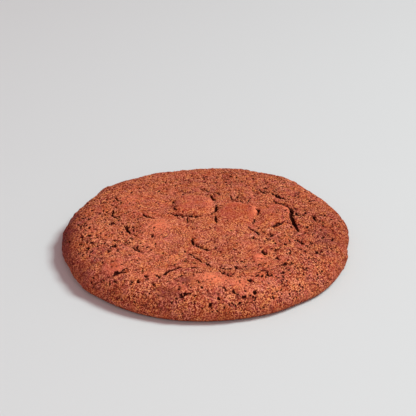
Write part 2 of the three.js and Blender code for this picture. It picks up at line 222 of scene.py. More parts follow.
CRACKS = each(
    Crack,
    ((-13, 4.2), (-10, 2.6), (-5.3, 2.2), 1.2, 2.1), ((-6.2, 2.5), (-1.6, 1.3), (2.8, 4.6), 1, 1.8),
    ((2.3, 3.9), (3.5, 7.2), (3.5, 11.2), 1.1, 1.9), ((1.7, 18), (2.2, 15.8), (3.1, 13.4), 1.3, 1.8),
    ((3.1, 0.6), (3.5, -1.9), (3.7, -4.9), 0.9, 1.5), ((-2.5, 24.8), (-0.8, 23.2), (1.1, 21.2), 1, 1.5),
    ((3, 21.8), (4.4, 19.2), (7.2, 18.4), 1, 1.5), ((12, 14.8), (13.9, 10.2), (17, 7.4), 1.1, 1.8),
    ((17.2, 7), (18.3, 4.6), (17.9, 2), 1, 1.7), ((16.8, -0.8), (16.5, -2.6), (15.8, -4.6), 0.9, 1.4),
    ((26.8, 12.6), (29.6, 8.6), (29.9, 3.6), 1.6, 2.5), ((30, 5), (29.9, 0), (30.3, -5.4), 1.5, 2.3),
    ((30.7, -3.4), (31.3, -6.2), (31.6, -9.1), 1, 1.6),
    ((22.2, -6.3), (23.9, -5.5), (26.9, -3.5), 1.2, 1.8),
    ((23.6, 20.8), (25.6, 18.2), (28.4, 15.4), 1.3, 1.8),
    ((19.6, 22.9), (20.9, 21), (22.6, 19.4), 1, 1.4),
    ((29.5, -14.2), (31.2, -15.6), (32.6, -18.2), 1, 1.6),
    ((14.3, -6.4), (15.4, -7.8), (16.5, -9), 0.9, 1.4),
    ((16.7, -9), (17.3, -10.6), (18, -12.2), 1, 1.5),
    ((14.6, -13.6), (15.8, -14.5), (17.2, -14.9), 0.9, 1.4),
    ((18.7, -22.2), (18.9, -24), (19.7, -25.4), 1.1, 1.6),
    ((-27.3, -5), (-26.5, -8.9), (-23.4, -13.3), 1.4, 2),
    ((-32.9, 7.8), (-32.8, 3.4), (-30, 1.4), 1.1, 1.7),
    ((-22.3, 3.2), (-20.2, 0), (-17.4, -1.1), 1, 1.5),
    ((-33.2, 19.2), (-31.8, 15.6), (-29.7, 11.7), 0.9, 1.5),
    ((-24.6, -19.8), (-23.2, -21.4), (-21.1, -24.1), 1.1, 1.7),
    ((-4.8, -15), (-3.7, -19.4), (1, -22.5), 1.3, 2),
    ((-5.1, -25.2), (-3.8, -27.7), (-1.8, -29.2), 1.1, 1.7),
    ((-2.3, -29), (-0.7, -30.6), (1.5, -29.2), 1, 1.6),
    ((-0.2, -30.2), (0.7, -31.8), (1.6, -33.6), 0.9, 1.5),
    ((-14, -38.4), (-11.6, -35.9), (-7.5, -33.9), 1.2, 1.9),
    ((-8.4, -34.1), (-5.3, -33.7), (-2.2, -34.5), 0.9, 1.4),
    ((-4.9, -36.6), (-2, -37.9), (1.4, -38.3), 1, 1.5),
    ((4.4, -33.9), (6.3, -34.6), (8.5, -33.5), 1, 1.5),
    ((9.2, -32.3), (10.3, -34.8), (14.1, -35.3), 1.3, 1.8),
    ((4.2, -36.8), (5.8, -37.8), (8.2, -39.9), 1, 1.5),
    ((-10.9, -40.6), (-9.3, -39.3), (-7.2, -37.7), 0.9, 1.5),
    ((-30, -36.1), (-28.3, -35.2), (-25.8, -36), 1.4, 1.9),
    ((-27.5, -35.2), (-26.9, -34.1), (-25.6, -33.3), 0.8, 1.2),
    ((19.9, -35.8), (19.8, -37.9), (21.4, -37.2), 1, 1.4),
    ((-8.7, -48.4), (-7.3, -47.5), (-5.6, -47), 1.1, 1.5),
    ((36.8, 3.9), (37.8, 2.2), (38, -0.5), 1.3, 1.8), ((31.6, 5.8), (32, 3.8), (33, 2.4), 1.2, 1.7),
)
HAIRLINES = each(
    Crack,
    ((-9.4, 21.8), (-7.9, 21.3), (-6.6, 19.5), 0.7, 0.9),
    ((-5.5, 17.4), (-3.9, 17.7), (-2.2, 18.9), 0.6, 0.8),
    ((-12, 14), (-11.4, 11.6), (-10.9, 9.4), 0.8, 1), ((-11.5, 7.4), (-11, 6.2), (-10.3, 5), 0.7, 0.9),
    ((1.1, -7.6), (1.3, -8.8), (2, -9.5), 0.9, 1.1),
    ((-6.7, 1.2), (-6.5, -1.3), (-6.6, -3.8), 0.6, 0.8),
    ((19.6, 11.4), (20.8, 8.4), (21.9, 6), 0.7, 0.9), ((24.6, 14), (25.6, 12.9), (26.6, 11.6), 0.8, 1),
    ((21.7, -10.3), (22.1, -12.1), (21.2, -14), 0.9, 1),
    ((-7.2, -29.5), (-6.5, -30.2), (-5.6, -30.6), 0.7, 0.9),
    ((-5, -30.6), (-4.4, -31.3), (-3.5, -31.8), 0.7, 0.9),
    ((-16.7, -37.7), (-15.6, -38.7), (-14.5, -39.7), 0.7, 0.9),
    ((-34, -35.5), (-33.3, -36.2), (-32.8, -36.9), 0.6, 0.8),
    ((-30.1, -37.8), (-29.5, -38.4), (-28.7, -39), 0.7, 0.9),
    ((8.6, -45.6), (9, -46.2), (9.5, -46.8), 0.7, 0.9), ((8.7, 17.8), (9.1, 16.2), (10, 14), 0.6, 0.8),
    ((14.6, 12.2), (15.1, 14), (15.8, 15.6), 0.7, 0.9),
    ((21.5, 24.4), (22.1, 25.4), (23.4, 26.8), 0.8, 1),
    ((24.2, 22.6), (24.9, 22), (25.8, 21), 0.7, 0.9), ((24, -16), (24.7, -16.6), (25.7, -17), 0.6, 0.8),
    ((7.3, -9.4), (8.4, -9.9), (9.5, -10.6), 0.6, 0.7),
    ((2, -49.8), (1.1, -50.3), (0.4, -50.6), 1, 1.1),
)
VENTS = each(
    Vent,
    (44.1, -17.9, 1.1), (36.8, -22.5, 1), (37.7, -31, 1), (38.9, -27, 0.8), (36.6, -10, 0.8),
    (33.8, -9.5, 0.8), (15.2, -45.6, 1.3), (11.7, -47.4, 1.2), (10.5, -49, 1), (3.9, -48.6, 1),
    (-9.4, -48.2, 0.9), (-19.3, -38.3, 1.1), (-31, -19.6, 1.2), (-25.2, -14.5, 0.9),
    (-31.1, -38.5, 0.9), (-24, -40.3, 0.8), (-21.7, -40.7, 0.8), (-32.6, -2.3, 0.9), (-42.2, -11.6, 1),
    (-40.5, 12.5, 0.8), (-32.6, 10, 0.9), (-25.3, -5.4, 0.8), (-4.6, -2.8, 0.8), (11.3, 17.3, 0.9),
    (17.4, 19.6, 0.9), (22.4, 30.1, 1), (28.9, 30.4, 0.8), (32.3, 27, 0.8), (23.1, -27.6, 1.1),
    (25.4, -31.6, 1), (27.6, -31.1, 0.9),
)
NICKS = each(
    Vent,
    (9.5, 38, 0.6), (11.2, 30.3, 0.5), (4.6, 28, 0.6), (-6.3, -5.9, 0.6), (-9.3, 21.3, 0.5),
    (17.7, -20.9, 0.6), (18.8, -31.5, 0.6), (17.9, -38.7, 0.6), (21.2, -42.6, 0.6), (19.4, -43.6, 0.6),
    (23.9, -42.3, 0.6), (25.4, -42.1, 0.5), (13.8, -46.7, 0.7), (9.8, -46.9, 0.7), (15.6, -47.1, 0.6),
    (8.1, -49.4, 0.5), (-3.7, -49.8, 0.6), (-10.9, -49.2, 0.6), (-26.8, -40.5, 0.7), (4.7, -22.6, 0.6),
    (-41.8, -13.9, 0.6), (-36.3, 13.5, 0.6), (-34.1, 17.8, 0.6), (-43.2, -8.8, 0.5),
    (-38.2, -16.4, 0.6), (-35, -17.5, 0.7), (-42.8, -20, 0.6), (-44.2, -1.6, 0.5), (-42, -1.8, 0.4),
    (-39.9, -2.6, 0.5), (-37.3, -3.2, 0.5), (-35.2, -3, 0.4), (-28.2, 25, 0.6), (23.2, 11.9, 0.6),
    (33, 1.8, 0.6),
)
PIT_ZONES = each(
    Zone,
    (-34, -2, 15, 22, 1.5), (34, -4, 17, 32, 0.65), (18, -42, 28, 14, 0.55), (12, 34, 34, 14, 0.6),
    (-14, -28, 20, 7, 0.35), (-42, -27, 8, 8, -0.6), (0, -6, 18, 16, -0.25),
)
# Pale, smooth patches of the top, with fewer pits and creases. Part of their paleness is painted light that
# stands in for the light on the top's swells.
PALE_PATCHES_AND_PAINTED_LIGHT = each(
    Zone,
    (-16.5, -6.3, 4.5, 5, 0.8), (-1.6, -40.4, 4, 2.2, 0.6), (3.5, -41.6, 5, 2.2, 0.8),
    (10.6, -42.5, 1.8, 1.6, 0.8), (-29.5, -30, 4, 3.5, 0.15), (17.4, -28.4, 2.4, 2.4, 1),
    (-28, 16, 5, 6, 0.3), (-20.5, -24, 5, 6, 0.3), (-17.5, -37.5, 5.5, 2.5, 0.4),
    (-27, -10, 2.5, 3, 0.3), (15, -20, 2.5, 3, 0.3), (-29, -35, 4, 3, 0.3), (-1, -45.5, 7, 2, 0.25),
    (-18, -17, 3.5, 4, 0.3), (13, -45, 4, 2.5, 0.3), (-8, -44.5, 2, 1.5, 0.3),
    (33, -38.5, 2.2, 2.2, 0.35), (17, -37.8, 2.2, 1.6, 0.3), (23, -37.5, 2.5, 2, 0.2),
    (-37, -9, 4, 4, 0.25), (-12, -29, 4, 3, 0.2),
)
# Darker, purplish zones of the top. Some are real staining; others are painted shade, such as on the left
# rim, which faces away from the light, and spots that stand in for shade on the top's forms.
STAINS_AND_PAINTED_SHADE = each(
    Zone,
    (-13.8, -45.4, 2.8, 2, 0.6), (-10.6, -47.3, 3.6, 2.6, 0.75), (-6.6, -40.8, 2.2, 2.4, 1.2),
    (40.7, -11.4, 3, 5, 0.7), (-26, -7.5, 2.2, 4.5, 0.3), (-11, 8, 3, 4, 0.4), (-40, -27, 8, 7, 0.35),
    (-50, -2, 6, 22, 0.9), (38, -19, 5, 9, 0.25), (-38, -31, 5, 4, 0.25),
)
# Zones that darken the crust, or lighten it with a negative share. Some are browning; others are painted
# shade and light, such as on the left rim, which faces away from the light, and spots that stand in for the
# light and shade of the top's forms.
TOAST_AND_PAINTED_SHADING = each(
    Zone,
    (49, 0, 13, 24, 0.6), (8, 48, 38, 16, 0.6), (-36, 32, 12, 10, 0.5), (-50, -6, 7, 22, 0.9),
    (38, 4, 8, 16, 0.3), (11, 5, 9, 10, 0.25), (0, 24, 22, 9, 0.3), (29, -32, 4.5, 5.5, 0.55),
    (6, -22, 4.5, 5, 0.5), (-39, 10, 6, 8, 0.28), (-19, 0, 4, 4, 0.45), (18, 11, 5, 4, 0.5),
    (9, 34, 12, 6, 0.2), (15, -33, 3, 3, 0.3), (29, 12, 4, 4, 0.25), (13, -47, 6, 4, -0.5),
    (-2, -46.5, 9, 4, -0.45), (32, -39, 3, 3, -0.3),
)


def imul(a: Points, b: int) -> Points:
    """The low 32 bits of a product."""
    return (a * np.uint64(b)) & LOW_BITS


def lattice_value(column: Points, row: Points, seed: Points) -> Points:
    """A seeded draw for each lattice point.

    Args:
        column: the points' whole numbers along X.
        row: the points' whole numbers along Y.
        seed: the seed of the draw.

    Returns:
        Numbers from 0 to 1.
    """
    keys = (np.asarray(value, np.int64).astype(np.uint64) & LOW_BITS for value in (column, row, seed))
    bits = sum((imul(key, stir) for key, stir in zip(keys, STIRS)), np.uint64(0)) & LOW_BITS
    bits = imul(bits ^ (bits >> np.uint64(13)), LAST_STIR)
    return (bits ^ (bits >> np.uint64(16))).astype(float) / 2**32


def ease(share: Points) -> Points:
    """A share from 0 to 1 with flat ends."""
    share = np.clip(share, 0, 1)
    return share * share * (3 - 2 * share)


def smoothstep(value: Points, low: float, high: float) -> Points:
    """How far a value has gone from low to high, eased."""
    return ease((value - low) / (high - low))


def bell(value: Points, middle: float, spread: float) -> Points:
    """A hump of height 1 around a middle."""
    return np.exp(-(((value - middle) / spread) ** 2))


def plan_noise(x: Points, y: Points, seed: int) -> Points:
    """Smooth noise over the plan, with lumps one unit across.

    Args:
        x: places along X, in lumps.
        y: places along Y, in lumps.
        seed: the seed of the draw.

    Returns:
        Numbers from -1 to 1.
    """
    column, row = np.floor(x), np.floor(y)
    across, along = ease(x - column), ease(y - row)
    total = 0
    for step_x, weight_x in ((0, 1 - across), (1, across)):
        for step_y, weight_y in ((0, 1 - along), (1, along)):
            total = total + weight_x * weight_y * lattice_value(column + step_x, row + step_y, seed)
    return 2 * total - 1


def body_noise(places: Points, size: float, seed: int) -> Points:
    """Smooth noise through space, blended between two layers of the plan's noise.

    Args:
        places: the points, in millimetres.
        size: how far across a lump is, in millimetres.
        seed: the seed of the draw.

    Returns:
        Numbers from -1 to 1.
    """
    x, y, z = (places / size).T
    floor = np.floor(z)
    rise = ease(z - floor)
    total = np.zeros(len(places))
    for step, weight in ((0, 1 - rise), (1, rise)):
        layers = (floor + step).astype(int)
        for layer in np.unique(layers):
            own = layers == layer
            total[own] += weight[own] * plan_noise(x[own], y[own], seed + LAYER_STEP * int(layer))
    return total


def border_distance(places: Points, size: float, seed: int) -> Points:
    """How far points are from the borders of a flat pattern of cells, one cell to each seeded spot.

    Args:
        places: the points' two coordinates, in millimetres.
        size: how far across a cell is, in millimetres.
        seed: the seed of the spots.

    Returns:
        About twice the distance to the nearest border, in millimetres.
    """
    cells = places / size
    corner = np.floor(cells)
    nearest = np.full(len(places), np.inf)
    second = nearest.copy()
    for step in np.ndindex(3, 3):
        cell = corner + step - 1
        spot = cell + np.stack([lattice_value(*cell.T, seed + axis) for axis in (0, 1)], axis=1)
        away = np.linalg.norm(cells - spot, axis=1)
        second = np.minimum(second, np.maximum(nearest, away))
        nearest = np.minimum(nearest, away)
    return size * (second - nearest)


def zone_sum(zones: tuple[Zone, ...], x: Points, y: Points) -> Points:
    """What zones add up to at points of the plan."""
    return sum(zone.share * bell(x, zone.x, zone.wide) * bell(y, zone.y, zone.deep) for zone in zones)


@dataclass
class CookieForm:
    """The smooth form of the cookie, the same as the solid's, in millimetres."""

    width: float = 101.4
    belly_height: float = 3.2
    shoulder_height: float = 10.3
    shoulder_width: float = 12
    shoulder_roundness: float = 2.2
    crown_rise: float = 1.1
    foot_inset: float = 3
    plate_flat: float = 0.72
    plate_end: float = 1.14
    plate_squareness: float = 3
    plate_smoothing: float = 0.8
    relief_from: float = 1.4
    relief_full: float = 5.1
    lumps: tuple[tuple[float, float, int], ...] = ((6.5, 0.26, 11), (3.1, 0.18, 23))
    slope_step: float = 0.1
    samples: int = 1200
    # The painted highlight on each plate's shoulder: where it lies, in the chunk's own reaches, how wide it
    # spreads, and the side it faces, the back right, where the light comes from.
    highlight_at: float = 0.86
    highlight_spread: float = 0.16
    highlight_toward: tuple[float, float] = (0.75, 0.66)

    @property
    def radius(self) -> float:
        """Half the cookie's width."""
        return self.width / 2

    def outline_radius(self, direction: Points) -> Points:
        """The distance from the middle to the outline.

        Args:
            direction: directions in the plan, in degrees.

        Returns:
            Distances in millimetres.
        """
        radius = np.full(np.shape(direction), self.radius)
        for wave in OUTLINE_WAVES:
            radius = radius + wave.rise * np.cos(np.radians(wave.lobes * (direction - wave.toward)))
        for bump in EDGE_BUMPS:
            turn = (direction - bump.at + 540) % 360 - 180
            radius = radius + bump.rise * bell(turn, 0, bump.spread)
        return radius

    def top_height(self, inset: Points) -> Points:
        """The height of the smooth top at a distance in from the outline.

        Args:
            inset: distances in from the outline, in millimetres.

        Returns:
            Heights in millimetres.
        """
        across = np.clip(inset / self.shoulder_width, 0, 1)
        roll = (1 - (1 - across) ** self.shoulder_roundness) ** (1 / self.shoulder_roundness)
        inward = np.clip(inset / self.radius, 0, 1)
        rolled = (self.shoulder_height - self.belly_height) * roll
        return self.belly_height + rolled + self.crown_rise * inward * (2 - inward)

    def profile(self, rings: int) -> Points:
        """Evenly spaced steps over the smooth top, from the middle out to the belly.

        Args:
            rings: how many steps there are.

        Returns:
            One row for each ring: the inset, the height, and the normal's outward and upward parts.
        """
        inset = self.radius * (1 - np.sin(np.linspace(0, math.pi / 2, self.samples)))
        height = self.top_height(inset)
        run = np.concatenate([[0], np.cumsum(np.hypot(np.diff(inset), np.diff(height)))])
        wanted = np.linspace(0, run[-1], rings + 1)
        inset, height = np.interp(wanted, run, inset), np.interp(wanted, run, height)
        outward, upward = -np.gradient(height, wanted), -np.gradient(inset, wanted)
        length = np.hypot(outward, upward)
        return np.stack([inset, height, outward / length, upward / length], axis=1)

    def stand(self, x: Points, y: Points) -> tuple[Points, Points]:
        """Finds the smooth form's points over points of the plan.

        Args:
            x: places along X, in millimetres.
            y: places along Y, in millimetres.

        Returns:
            The points, and the normal at each.
        """
        reach = np.maximum(np.hypot(x, y), TINY)
        inset = np.maximum(self.outline_radius(np.degrees(np.arctan2(y, x))) - reach, 0)
        outer = np.maximum(inset - self.slope_step, 0)
        inner = inset + self.slope_step
        slope = (self.top_height(inner) - self.top_height(outer)) / (inner - outer)
        normals = np.stack([slope * x / reach, slope * y / reach, np.ones(len(reach))], axis=1)
        normals /= np.linalg.norm(normals, axis=1, keepdims=True)
        return np.stack([x, y, self.top_height(inset)], axis=1), normals

    def chunk_reach(self, chunk: Chunk, x: Points, y: Points) -> Points:
        """How far points lie from a chunk's middle, where 1 is the chunk's own edge.

        Args:
            chunk: the chunk.
            x: places along X, in millimetres.
            y: places along Y, in millimetres.

        Returns:
            Distances, in the chunk's own reaches.
        """
        turn = math.radians(chunk.turn)
        along = ((x - chunk.x) * math.cos(turn) + (y - chunk.y) * math.sin(turn)) / chunk.long
        across = ((y - chunk.y) * math.cos(turn) - (x - chunk.x) * math.sin(turn)) / chunk.short
        power = self.plate_squareness
        return (np.abs(along) ** power + np.abs(across) ** power) ** (1 / power)

    def plate_shares(self, x: Points, y: Points) -> Points:
        """How far points of the plan are on each chunk's plate, from 0 to 1, a row for each chunk."""
        reaches = [self.chunk_reach(chunk, x, y) for chunk in CHUNKS]
        return 1 - smoothstep(np.array(reaches), self.plate_flat, self.plate_end)

    def smooth_share(self, x: Points, y: Points) -> Points:
        """How far the chunks smooth and redden the crust at points of the plan."""
        smooth = np.array([[chunk.smooth] for chunk in CHUNKS])
        return (smooth * self.plate_shares(x, y)).max(axis=0)

    def painted_highlight_share(self, x: Points, y: Points) -> Points:
        """How far points are in the painted highlight on the shoulder that a plate turns to the back right,
        towards the light.

        Args:
            x: places along X, in millimetres.
            y: places along Y, in millimetres.

        Returns:
            Shares from 0 to 1.
        """
        best = np.zeros(len(x))
        for chunk in CHUNKS:
            right, back = x - chunk.x, y - chunk.y
            toward = right * self.highlight_toward[0] + back * self.highlight_toward[1]
            toward = np.clip(toward / np.maximum(np.hypot(right, back), TINY), 0, 1)
            edge = bell(self.chunk_reach(chunk, x, y), self.highlight_at, self.highlight_spread)
            best = np.maximum(best, chunk.shoulder * toward * edge)
        return best

    def relief(self, x: Points, y: Points) -> Points:
        """How far the crust stands off the smooth form at points of the plan.

        Args:
            x: places along X, in millimetres.
            y: places along Y, in millimetres.

        Returns:
            Distances in millimetres.
        """
        plates = self.plate_shares(x, y)
        relief = sum(chunk.rise * share for chunk, share in zip(CHUNKS, plates))
        for swell in SWELLS:
            relief += swell.rise * bell(np.hypot(x - swell.x, y - swell.y), 0, swell.reach)
        rough = 1 - self.plate_smoothing * plates.max(axis=0)
        for across, rise, seed in self.lumps:
            relief += rough * rise * plan_noise(x / across, y / across, seed)
        return relief


@dataclass
class Baking:
    """The splits, vents, pits and creases that baking leaves in the crust, in millimetres.

    A lip is two numbers: where it rises beside a hole or a split, and how far it spreads, both in
    half-widths of it. A lean is how far from upright the crust's normal is, from 0 to 1.
    """

    form: CookieForm
    crack_step: float = 1.9
    crack_fewest: int = 3
    crack_wander: float = 0.3
    crack_spread: float = 1.45
    crack_tip: float = 0.02
    crack_blunt: float = 0.4
    crack_open: float = 0.85
    crack_vary: float = 0.3
    crack_vary_often: float = 1.4
    crack_fullness: float = 0.6
    # How fast a crack's painted shade comes up from its edges.
    crack_shade: float = 4
    crack_lip: Span = (1.5, 0.5)
    scattered_vents: int = 24
    scatter_reach: Span = (17, 46.5)
    scatter_radius: Span = (0.6, 0.95)
    vent_spacing: float = 3.2
    chunk_clearance: float = 1.15
    vent_depth: float = 1.3
    vent_squash: float = 0.75
    vent_spread: float = 0.88
    vent_fullness: float = 0.8
    # How fast a vent's painted shade comes up from its edges.
    vent_shade: float = 3.3
    vent_lip: Span = (1.25, 0.3)
    lip: float = 0.1
    rim_narrowing: float = 0.32
    rim_lean: Span = (0.15, 0.7)
    pit_draws: int = 6500
    pit_chance: float = 0.13
    pit_zone_chance: float = 0.5
    pit_clearing: float = 0.9
    pit_radius: Span = (0.36, 0.78)
    crease_size: float = 3.4
    crease_width: float = 0.5
    crease_patch: float = 5.5
    crease_patches: Span = (-0.35, 0.15)
    crease_break: float = 1.9
    crease_breaks: Span = (-0.1, 0.25)

    def crack_stations(self, crack: Crack, number: int) -> Points:
        """The places along a crack.

        Args:
            crack: the crack.
            number: its number, which draws how it strays.

        Returns:
            One row of x and y for each station.
        """
        start, by, end = (np.array(point, float) for point in (crack.start, crack.by, crack.end))
        pull = 2 * by - (start + end) / 2
        span = np.linalg.norm(by - start) + np.linalg.norm(end - by)
        count = max(self.crack_fewest, math.floor(span / self.crack_step + 0.5))
        share = np.linspace(0, 1, count + 1)[:, None]
        places = (1 - share) ** 2 * start + 2 * share * (1 - share) * pull + share**2 * end
        heading = (1 - share) * (pull - start) + share * (end - pull)
        heading /= np.linalg.norm(heading, axis=1, keepdims=True)
        stray = self.crack_wander * (2 * lattice_value(np.arange(count + 1), number, Seed.STRAY) - 1)
        stray[[0, -1]] = 0
        return places + stray[:, None] * np.stack([-heading[:, 1], heading[:, 0]], axis=1)

    def scattered(self) -> list[Vent]:
        """The vents that the solid scatters: the same draws, in the same order.

        Returns:
            The vents.
        """
        taken = [(vent.x, vent.y) for vent in VENTS]
        for number, crack in enumerate(CRACKS):
            taken.extend(map(tuple, self.crack_stations(crack, number)))
        vents: list[Vent] = []
        draw = 0
        (near, far), (low, high) = self.scatter_reach, self.scatter_radius
        while len(vents) < self.scattered_vents:
            turn, share, size = (float(lattice_value(draw, use, Seed.VENTS)) for use in (1, 2, 3))
            draw += 1
            reach = near + (far - near) * math.sqrt(share)
            x, y = reach * math.cos(math.tau * turn), reach * math.sin(math.tau * turn)
            on_chunk = min(self.form.chunk_reach(chunk, x, y) for chunk in CHUNKS) < self.chunk_clearance
            close = min(math.hypot(other[0] - x, other[1] - y) for other in taken) < self.vent_spacing
            if not on_chunk and not close:
                vents.append(Vent(x, y, low + (high - low) * size))
                taken.append((x, y))
        return vents

    def small_pits(self) -> list[Vent]:
        """The many pits too small for the solid, thickest in their zones.

        Returns:
            The pits.
        """
        inset = self.form.profile(self.form.samples)[:, 0]
        area = np.cumsum(self.form.radius - inset)
        draws = np.arange(self.pit_draws)
        turn, share, luck, size = (lattice_value(draws, use, Seed.PITS) for use in (1, 2, 3, 4))
        inset = np.interp(share * area[-1], area, inset)
        reach = self.form.outline_radius(360 * turn) * (1 - inset / self.form.radius)
        x, y = reach * np.cos(math.tau * turn), reach * np.sin(math.tau * turn)
        chance = self.pit_chance + self.pit_zone_chance * zone_sum(PIT_ZONES, x, y)
        clear = np.maximum(self.form.smooth_share(x, y), zone_sum(PALE_PATCHES_AND_PAINTED_LIGHT, x, y).clip(0, 1))
        kept = luck < chance * (1 - self.pit_clearing * clear)
        low, high = self.pit_radius
        radius = low + (high - low) * size**2
        return [Vent(*hole) for hole in np.stack([x, y, radius], axis=1)[kept]]

    def narrowing(self, normal: Points) -> float:
        """What a hole's width is multiplied by where the crust leans, down to the rim."""
        lean = smoothstep(math.hypot(normal[0], normal[1]), *self.rim_lean)
        return float(1 - self.rim_narrowing * lean)

    def holes(self, places: Points) -> tuple[Points, Points]:
        """What the vents and pits take away.

        Args:
            places: points of the smooth form, already made ragged.

        Returns:
            The depth at each point, and how far each point is in a hole's painted shade, from 0 to 1.
        """
        depth, dark = np.zeros((2, len(places)))
        holes = [*VENTS, *self.scattered(), *NICKS, *self.small_pits()]
        centres, normals = self.form.stand(*np.array([(hole.x, hole.y) for hole in holes]).T)
        for number, (hole, centre, normal) in enumerate(zip(holes, centres, normals)):
            near = np.flatnonzero(np.abs(places[:, 0] - centre[0]) < 2 * hole.radius)
            near = near[np.linalg.norm(places[near] - centre, axis=1) < 2 * hole.radius]
            radius = self.narrowing(normal) * hole.radius
            right = np.array([normal[2], 0, -normal[0]]) / math.hypot(normal[0], normal[2])
            climb = np.cross(normal, right)
            turn = math.pi * float(lattice_value(number, 4, Seed.VENTS))
            along = (places[near] - centre) @ (math.cos(turn) * right + math.sin(turn) * climb)
            across = (places[near] - centre) @ (math.cos(turn) * climb - math.sin(turn) * right)
            reach = np.hypot(along, across / self.vent_squash) / (self.vent_spread * radius)
            bowl = np.clip(1 - reach**2, 0, 1)
            lip = self.lip * bell(reach, *self.vent_lip)
            depth[near] += radius * (self.vent_depth * bowl**self.vent_fullness - lip)
            dark[near] = np.maximum(dark[near], ease(bowl * self.vent_shade))
        return depth, dark

    def splits(self, places: Points) -> tuple[Points, Points]:
        """What the cracks take away.

        Args:
            places: points of the smooth form, already made ragged.

        Returns:
            The depth at each point, and how far each point is in a crack's painted shade, from 0 to 1.
        """
        depth, dark = np.zeros((2, len(places)))
        for number, crack in enumerate((*CRACKS, *HAIRLINES)):
            line, normals = self.form.stand(*self.crack_stations(crack, number).T)
            near, reach, share = self.along_line(places, line, 2 * crack.width)
            full = np.sin(np.pi * np.clip(share, self.crack_tip, 1 - self.crack_tip)) ** self.crack_blunt
            place = share * len(line) * self.crack_vary_often
            opened = self.crack_open + self.crack_vary * plan_noise(place, np.full(len(near), 0.5), number)
            half = self.crack_spread * self.narrowing(normals.mean(axis=0)) * crack.width / 2
            reach = reach / (half * full * opened)
            groove = np.clip(1 - reach, 0, 1) ** self.crack_fullness
            lip = self.lip * full * bell(reach, *self.crack_lip)
            depth[near] = np.maximum(depth[near], crack.depth * full * groove) - lip
            dark[near] = np.maximum(dark[near], ease((1 - reach).clip(0, 1) * self.crack_shade))
        return depth, dark

    @staticmethod
    def along_line(places: Points, line: Points, reach: float) -> tuple[Points, Points, Points]:
        """Finds the points near a line of stations.

        Args:
            places: the points.
            line: the stations.
            reach: how far from the line a point may be.

        Returns:
            The numbers of the points, how far each is from the line, and how far along it, 0 to 1.
        """
        inside = (places > line.min(axis=0) - reach) & (places < line.max(axis=0) + reach)
        near = np.flatnonzero(inside.all(axis=1))
        best = np.full(len(near), np.inf)
        along = np.zeros(len(near))
        for i, (start, end) in enumerate(zip(line[:-1], line[1:])):
            run, away = end - start, places[near] - start
            share = np.clip(away @ run / (run @ run), 0, 1)
            away = np.linalg.norm(away - share[:, None] * run, axis=1)
            closer = away < best
            best[closer] = away[closer]
            along[closer] = (i + share[closer]) / (len(line) - 1)
        kept = best < reach
        return near[kept], best[kept], along[kept]

    def creases(self, places: Points) -> Points:
        """How far points are in one of the short shallow creases between the crust's lumps.

        Args:
            places: points of the smooth form, already made ragged.

        Returns:
            Shares from 0 to 1.
        """
        x, y, z = places.T
        laid = 1 + (self.form.shoulder_height - z).clip(0) / np.maximum(np.hypot(x, y), TINY)
        flat = np.stack([x * laid, y * laid], axis=1)
        border = border_distance(flat, self.crease_size, Seed.CREASES)
        patch = body_noise(places, self.crease_patch, Seed.CREASE_PATCHES)
        broken = body_noise(places, self.crease_break, Seed.CREASE_BREAKS)
        shown = smoothstep(patch, *self.crease_patches) * smoothstep(broken, *self.crease_breaks)
        return bell(border, 0, self.crease_width) * shown


